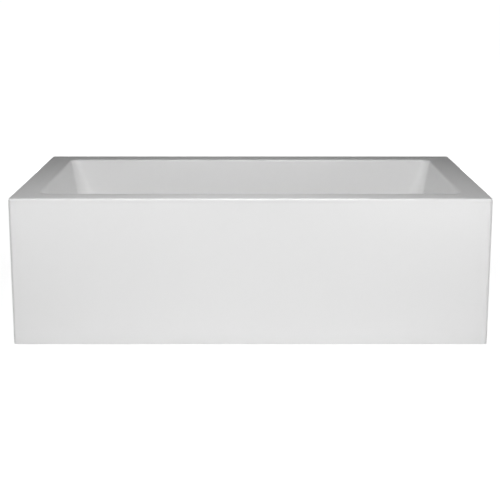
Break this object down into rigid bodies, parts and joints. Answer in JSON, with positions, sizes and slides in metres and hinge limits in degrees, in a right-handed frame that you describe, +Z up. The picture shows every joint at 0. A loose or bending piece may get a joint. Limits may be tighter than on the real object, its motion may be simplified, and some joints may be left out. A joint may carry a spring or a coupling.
{
  "type": "freestanding bathtub",
  "caption": "Rectangular freestanding bath with a flat deck and a sloped basin, on a steel frame with screw feet, push-plug waste and overflow",
  "frame": {"origin": "on the floor, under the middle of the tub", "axes": "+X along the length, +Y towards the back face, +Z up; the overflow is on the front, -Y, wall"},
  "size_m": [1.676, 0.914, 0.527],
  "materials": {
    "acrylic": "smooth satin gloss, white sanitary acrylic",
    "timber": "sawn softwood, sealed with clear resin",
    "board": "pressed particle board, resin coated",
    "galvanised_steel": "hot-dip galvanised",
    "zinc": "bright zinc plate",
    "rubber": "matt moulded",
    "chrome": "polished",
    "stainless": "drawn",
    "black_plastic": "fine moulded texture",
    "grey_hose": "corrugated, semi-gloss"
  },
  "bodies": {
    "tub": {"tub_shell": "acrylic", "outer_skirt": "acrylic", "rim_board_front": "timber", "rim_board_back": "timber", "rim_board_left": "timber", "rim_board_right": "timber", "skirt_batten_front": "timber", "skirt_batten_back": "timber", "skirt_batten_left": "timber", "skirt_batten_right": "timber", "base_board": "board", "cross_rail_left": "galvanised_steel", "cross_rail_right": "galvanised_steel", "long_rail_front": "galvanised_steel", "long_rail_back": "galvanised_steel", "skirt_bracket_front_left": "galvanised_steel", "skirt_bracket_front_right": "galvanised_steel", "skirt_bracket_back_left": "galvanised_steel", "skirt_bracket_back_right": "galvanised_steel", "end_bracket_left": "galvanised_steel", "end_bracket_right": "galvanised_steel", "frame_screw_1": "zinc", "frame_screw_2": "zinc", "frame_screw_3": "zinc", "frame_screw_4": "zinc", "foot_insert_1": "zinc", "foot_insert_2": "zinc", "foot_insert_3": "zinc", "foot_insert_4": "zinc", "lock_nut_1": "zinc", "lock_nut_2": "zinc", "lock_nut_3": "zinc", "lock_nut_4": "zinc", "waste_gasket": "rubber", "waste_washer": "rubber", "overflow_gasket": "rubber", "waste_flange": "chrome", "overflow_cover": "chrome", "overflow_insert": "chrome", "tail_pipe": "chrome", "plug_spring": "stainless", "waste_body": "black_plastic", "tail_nut": "black_plastic", "overflow_elbow": "black_plastic", "hose_nut_top": "black_plastic", "hose_nut_bottom": "black_plastic", "overflow_hose": "grey_hose"},
    "plug": {"plug_cap": "chrome", "plug_seal": "rubber", "plug_stem": "stainless"},
    "foot_1": {"foot_pad_1": "rubber"},
    "stud_1": {"foot_stud_1": "zinc"},
    "foot_2": {"foot_pad_2": "rubber"},
    "stud_2": {"foot_stud_2": "zinc"},
    "foot_3": {"foot_pad_3": "rubber"},
    "stud_3": {"foot_stud_3": "zinc"},
    "foot_4": {"foot_pad_4": "rubber"},
    "stud_4": {"foot_stud_4": "zinc"}
  },
  "joints": [
    {"name": "plug_press", "type": "slide", "parent": "tub", "child": "plug", "axis": [0, 0, 1], "range_m": [-0.009, 0], "stiffness_N_per_m": 400, "springref_m": 0.005, "deforming": ["plug_spring"]},
    {"name": "foot_1_height", "type": "slide", "parent": "tub", "child": "foot_1", "axis": [0, 0, 1], "range_m": [-0.00525, 0.00525]},
    {"name": "foot_1_turn", "type": "hinge", "parent": "foot_1", "child": "stud_1", "pos_m": [-0.5, -0.36, 0.03], "axis": [0, 0, 1], "range_deg": [-1080, 1080]},
    {"name": "foot_2_height", "type": "slide", "parent": "tub", "child": "foot_2", "axis": [0, 0, 1], "range_m": [-0.00525, 0.00525]},
    {"name": "foot_2_turn", "type": "hinge", "parent": "foot_2", "child": "stud_2", "pos_m": [-0.5, 0.36, 0.03], "axis": [0, 0, 1], "range_deg": [-1080, 1080]},
    {"name": "foot_3_height", "type": "slide", "parent": "tub", "child": "foot_3", "axis": [0, 0, 1], "range_m": [-0.00525, 0.00525]},
    {"name": "foot_3_turn", "type": "hinge", "parent": "foot_3", "child": "stud_3", "pos_m": [0.5, -0.36, 0.03], "axis": [0, 0, 1], "range_deg": [-1080, 1080]},
    {"name": "foot_4_height", "type": "slide", "parent": "tub", "child": "foot_4", "axis": [0, 0, 1], "range_m": [-0.00525, 0.00525]},
    {"name": "foot_4_turn", "type": "hinge", "parent": "foot_4", "child": "stud_4", "pos_m": [0.5, 0.36, 0.03], "axis": [0, 0, 1], "range_deg": [-1080, 1080]}
  ],
  "couplings": [
    {"joint": "foot_1_turn", "follows": "foot_1_height", "rad_per_m": 3590.4},
    {"joint": "foot_2_turn", "follows": "foot_2_height", "rad_per_m": 3590.4},
    {"joint": "foot_3_turn", "follows": "foot_3_height", "rad_per_m": 3590.4},
    {"joint": "foot_4_turn", "follows": "foot_4_height", "rad_per_m": 3590.4}
  ]
}
